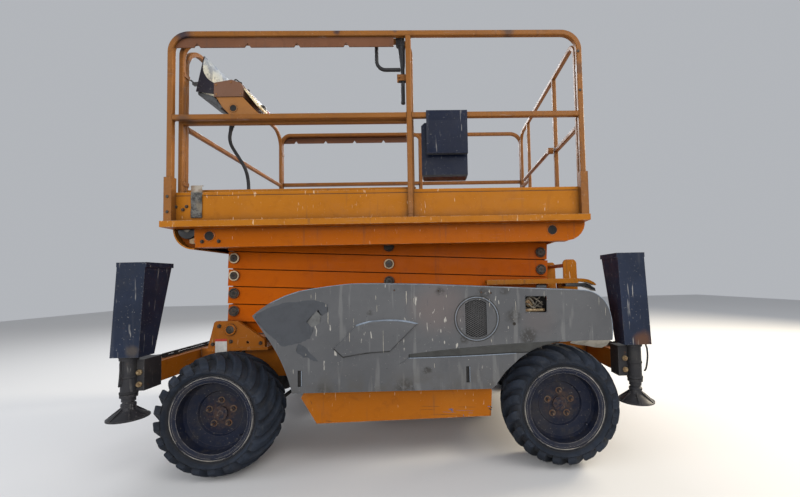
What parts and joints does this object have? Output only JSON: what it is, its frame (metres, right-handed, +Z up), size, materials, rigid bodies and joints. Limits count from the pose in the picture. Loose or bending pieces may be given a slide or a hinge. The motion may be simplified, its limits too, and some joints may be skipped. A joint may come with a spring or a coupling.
{
  "type": "scissor lift",
  "caption": "Wheeled scissor lift, stowed: orange chassis with dark hoods and outrigger legs, crossed-arm stack, railed platform with sliding extension and control box.",
  "frame": {"origin": "on the ground below the middle of the wheelbase, on the centre plane", "axes": "+Z up, -X towards the front (steered axle, sliding extension), -Y the operator's left"},
  "size_m": [2.9979, 1.85, 2.548],
  "materials": {
    "tyre": "dusty black",
    "rim": "dull dark grey, rusty nuts",
    "arm_paint": "worn orange",
    "axle_paint": "dirty black",
    "engine_iron": "oily",
    "tank_paint": "dirty black",
    "hood_paint": "chalky grey, scratched",
    "mesh_steel": "black mesh",
    "chrome_rod": "bright",
    "barrel_paint": "black",
    "cover_paint": "scratched black",
    "leg_steel": "greasy black",
    "deck_paint": "worn orange",
    "rail_paint": "worn orange",
    "box_plastic": "black",
    "lock_black": "black",
    "strap_cloth": "mottled grey",
    "control_grey": "orange housing with black side and pale face",
    "cable_rubber": "matt",
    "frame_paint": "worn orange"
  },
  "bodies": {
    "chassis": {"chassis_frame": "frame_paint", "front_axle": "axle_paint", "rear_axle": "axle_paint", "side_pod_left": "frame_paint", "side_pod_right": "frame_paint", "scissor_brackets": "arm_paint", "slide_tracks": "frame_paint", "engine_block": "engine_iron", "fluid_tanks": "tank_paint", "rear_cover": "frame_paint", "ladder": "frame_paint", "outrigger_covers": "cover_paint", "outrigger_tubes": "leg_steel"},
    "hood_left": {"hood_left": "hood_paint", "grille_left": "mesh_steel"},
    "hood_right": {"hood_right": "hood_paint", "grille_right": "mesh_steel"},
    "knuckle_left": {"knuckle_left": "axle_paint"},
    "knuckle_right": {"knuckle_right": "axle_paint"},
    "tie_rod": {"tie_rod": "axle_paint"},
    "lift_barrel": {"lift_barrel": "barrel_paint"},
    "lift_rod": {"lift_rod": "chrome_rod"},
    "platform": {"platform_deck": "deck_paint", "end_sheets": "deck_paint", "toe_boards": "deck_paint", "side_rails": "rail_paint", "notched_strips": "rail_paint", "end_rail": "rail_paint", "document_box": "box_plastic", "strap": "strap_cloth"},
    "drop_bar": {"drop_bar": "rail_paint"},
    "extension": {"extension_deck": "deck_paint", "extension_rails": "rail_paint", "slide_lock": "lock_black", "control_box": "control_grey", "control_cable": "cable_rubber", "cable_gland": "cable_rubber"},
    "wheel_front_left": {"tyre_front_left": "tyre", "rim_front_left": "rim"},
    "leg_front_left": {"outrigger_leg_front_left": "leg_steel"},
    "wheel_front_right": {"tyre_front_right": "tyre", "rim_front_right": "rim"},
    "leg_front_right": {"outrigger_leg_front_right": "leg_steel"},
    "wheel_rear_left": {"tyre_rear_left": "tyre", "rim_rear_left": "rim"},
    "leg_rear_left": {"outrigger_leg_rear_left": "leg_steel"},
    "wheel_rear_right": {"tyre_rear_right": "tyre", "rim_rear_right": "rim"},
    "leg_rear_right": {"outrigger_leg_rear_right": "leg_steel"},
    "inner_1": {"scissor_inner_1": "arm_paint"},
    "outer_1": {"scissor_outer_1": "arm_paint"},
    "inner_2": {"scissor_inner_2": "arm_paint"},
    "outer_2": {"scissor_outer_2": "arm_paint"},
    "inner_3": {"scissor_inner_3": "arm_paint"},
    "outer_3": {"scissor_outer_3": "arm_paint"},
    "inner_4": {"scissor_inner_4": "arm_paint"},
    "outer_4": {"scissor_outer_4": "arm_paint"},
    "inner_5": {"scissor_inner_5": "arm_paint"},
    "outer_5": {"scissor_outer_5": "arm_paint"}
  },
  "joints": [
    {"name": "lift", "type": "hinge", "parent": "chassis", "child": "inner_1", "pos_m": [-1.076, 0, 0.757], "axis": [0, -1, 0], "range_deg": [0, 58]},
    {"name": "cross_1", "type": "hinge", "parent": "inner_1", "child": "outer_1", "pos_m": [-0.0505, 0, 0.81525], "axis": [0, -1, 0], "range_deg": [-117, 0]},
    {"name": "stage_2", "type": "hinge", "parent": "outer_1", "child": "inner_2", "pos_m": [-1.076, 0, 0.8735], "axis": [0, -1, 0], "range_deg": [0, 117]},
    {"name": "cross_2", "type": "hinge", "parent": "inner_2", "child": "outer_2", "pos_m": [-0.0505, 0, 0.93175], "axis": [0, -1, 0], "range_deg": [-117, 0]},
    {"name": "stage_3", "type": "hinge", "parent": "outer_2", "child": "inner_3", "pos_m": [-1.076, 0, 0.99], "axis": [0, -1, 0], "range_deg": [0, 117]},
    {"name": "cross_3", "type": "hinge", "parent": "inner_3", "child": "outer_3", "pos_m": [-0.0505, 0, 1.04825], "axis": [0, -1, 0], "range_deg": [-117, 0]},
    {"name": "stage_4", "type": "hinge", "parent": "outer_3", "child": "inner_4", "pos_m": [-1.076, 0, 1.1065], "axis": [0, -1, 0], "range_deg": [0, 117]},
    {"name": "cross_4", "type": "hinge", "parent": "inner_4", "child": "outer_4", "pos_m": [-0.0505, 0, 1.16475], "axis": [0, -1, 0], "range_deg": [-117, 0]},
    {"name": "stage_5", "type": "hinge", "parent": "outer_4", "child": "inner_5", "pos_m": [-1.076, 0, 1.223], "axis": [0, -1, 0], "range_deg": [0, 117]},
    {"name": "cross_5", "type": "hinge", "parent": "inner_5", "child": "outer_5", "pos_m": [-0.0505, 0, 1.28125], "axis": [0, -1, 0], "range_deg": [-117, 0]},
    {"name": "platform_level", "type": "hinge", "parent": "outer_5", "child": "platform", "pos_m": [-1.076, 0, 1.3395], "axis": [0, -1, 0], "range_deg": [0, 59]},
    {"name": "barrel_turn", "type": "hinge", "parent": "inner_1", "child": "lift_barrel", "pos_m": [0.83143, 0, 0.86535], "axis": [0, -1, 0], "range_deg": [-124, 0]},
    {"name": "rod_slide", "type": "slide", "parent": "lift_barrel", "child": "lift_rod", "axis": [-0.9964, 0, 0.0849], "range_m": [0, 0.66]},
    {"name": "extension_slide", "type": "slide", "parent": "platform", "child": "extension", "axis": [-1, 0, 0], "range_m": [0, 0.9]},
    {"name": "drop_bar_turn", "type": "hinge", "parent": "platform", "child": "drop_bar", "pos_m": [1.103, -0.3, 1.966], "axis": [1, 0, 0], "range_deg": [0, 80]},
    {"name": "hood_left_turn", "type": "hinge", "parent": "chassis", "child": "hood_left", "pos_m": [0, -0.56, 0.985], "axis": [-1, 0, 0], "range_deg": [0, 50]},
    {"name": "hood_right_turn", "type": "hinge", "parent": "chassis", "child": "hood_right", "pos_m": [0, 0.56, 0.985], "axis": [1, 0, 0], "range_deg": [0, 50]},
    {"name": "steer_left", "type": "hinge", "parent": "chassis", "child": "knuckle_left", "pos_m": [-0.956, -0.68, 0.3315], "axis": [0, 0, 1], "range_deg": [-28, 28]},
    {"name": "steer_right", "type": "hinge", "parent": "chassis", "child": "knuckle_right", "pos_m": [-0.956, 0.68, 0.3315], "axis": [0, 0, 1], "range_deg": [-29, 29]},
    {"name": "tie_rod_slide", "type": "slide", "parent": "chassis", "child": "tie_rod", "axis": [0, 1, 0], "range_m": [-0.05, 0.05]},
    {"name": "spin_front_left", "type": "hinge", "parent": "knuckle_left", "child": "wheel_front_left", "pos_m": [-0.956, -0.75, 0.3315], "axis": [0, 1, 0], "continuous": true},
    {"name": "leg_front_left_slide", "type": "slide", "parent": "chassis", "child": "leg_front_left", "axis": [0, 0, -1], "range_m": [0, 0.36]},
    {"name": "spin_front_right", "type": "hinge", "parent": "knuckle_right", "child": "wheel_front_right", "pos_m": [-0.956, 0.75, 0.3315], "axis": [0, 1, 0], "continuous": true},
    {"name": "leg_front_right_slide", "type": "slide", "parent": "chassis", "child": "leg_front_right", "axis": [0, 0, -1], "range_m": [0, 0.36]},
    {"name": "spin_rear_left", "type": "hinge", "parent": "chassis", "child": "wheel_rear_left", "pos_m": [0.956, -0.75, 0.3315], "axis": [0, 1, 0], "continuous": true},
    {"name": "leg_rear_left_slide", "type": "slide", "parent": "chassis", "child": "leg_rear_left", "axis": [0, 0, -1], "range_m": [0, 0.36]},
    {"name": "spin_rear_right", "type": "hinge", "parent": "chassis", "child": "wheel_rear_right", "pos_m": [0.956, 0.75, 0.3315], "axis": [0, 1, 0], "continuous": true},
    {"name": "leg_rear_right_slide", "type": "slide", "parent": "chassis", "child": "leg_rear_right", "axis": [0, 0, -1], "range_m": [0, 0.36]}
  ],
  "couplings": [
    {"joint": "cross_1", "follows": "lift", "ratio": -2},
    {"joint": "stage_2", "follows": "lift", "ratio": 2},
    {"joint": "cross_2", "follows": "lift", "ratio": -2},
    {"joint": "stage_3", "follows": "lift", "ratio": 2},
    {"joint": "cross_3", "follows": "lift", "ratio": -2},
    {"joint": "stage_4", "follows": "lift", "ratio": 2},
    {"joint": "cross_4", "follows": "lift", "ratio": -2},
    {"joint": "stage_5", "follows": "lift", "ratio": 2},
    {"joint": "cross_5", "follows": "lift", "ratio": -2},
    {"joint": "platform_level", "follows": "lift", "ratio": 1},
    {"joint": "barrel_turn", "follows": "lift", "ratio": -2.1214},
    {"joint": "rod_slide", "follows": "lift", "m_per_rad": 0.64662},
    {"joint": "steer_right", "follows": "steer_left", "ratio": 1},
    {"joint": "tie_rod_slide", "follows": "steer_left", "m_per_rad": 0.0961}
  ]
}
